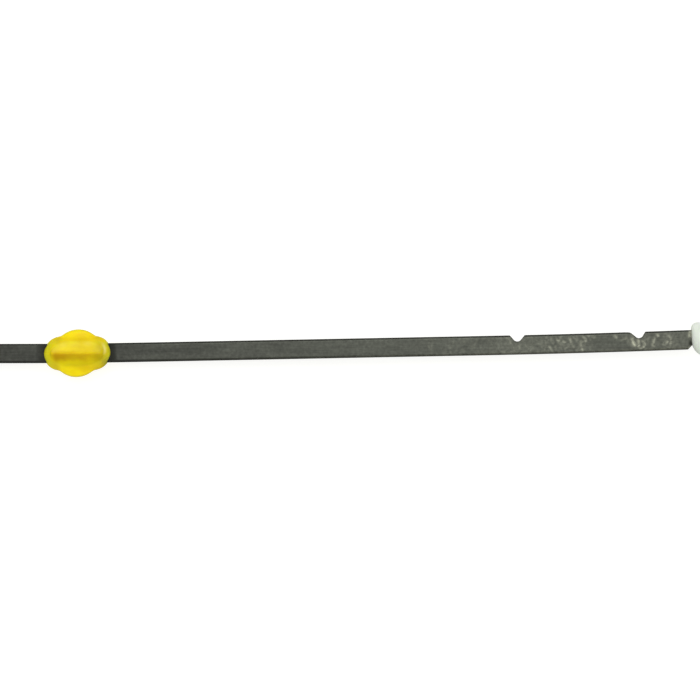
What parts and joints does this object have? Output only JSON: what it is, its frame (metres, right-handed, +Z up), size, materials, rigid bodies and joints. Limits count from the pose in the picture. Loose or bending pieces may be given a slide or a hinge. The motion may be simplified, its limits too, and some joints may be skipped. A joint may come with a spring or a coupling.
{
  "type": "engine oil dipstick",
  "caption": "Engine oil dipstick: flat steel blade with notched level marks, finned yellow guide bead, pale moulded tip, and a pull loop with a sealed plug stem.",
  "frame": {"origin": "on the blade's axis, in the plane of the handle's stop face, from which the level marks are measured", "axes": "+X down the blade towards the tip, +Y towards the notched edge, +Z up out of the blade's upper face"},
  "size_m": [0.3705, 0.032, 0.015],
  "materials": {
    "blade_steel": "dull grey rolled spring steel",
    "bead_plastic": "semi-gloss yellow moulding",
    "tip_nylon": "natural white nylon, slightly translucent",
    "handle_plastic": "semi-gloss yellow moulding",
    "seal_rubber": "black nitrile rubber"
  },
  "bodies": {
    "root": {"blade": "blade_steel", "guide_bead": "bead_plastic", "tip": "tip_nylon", "handle": "handle_plastic", "o_ring": "seal_rubber"}
  },
  "joints": []
}
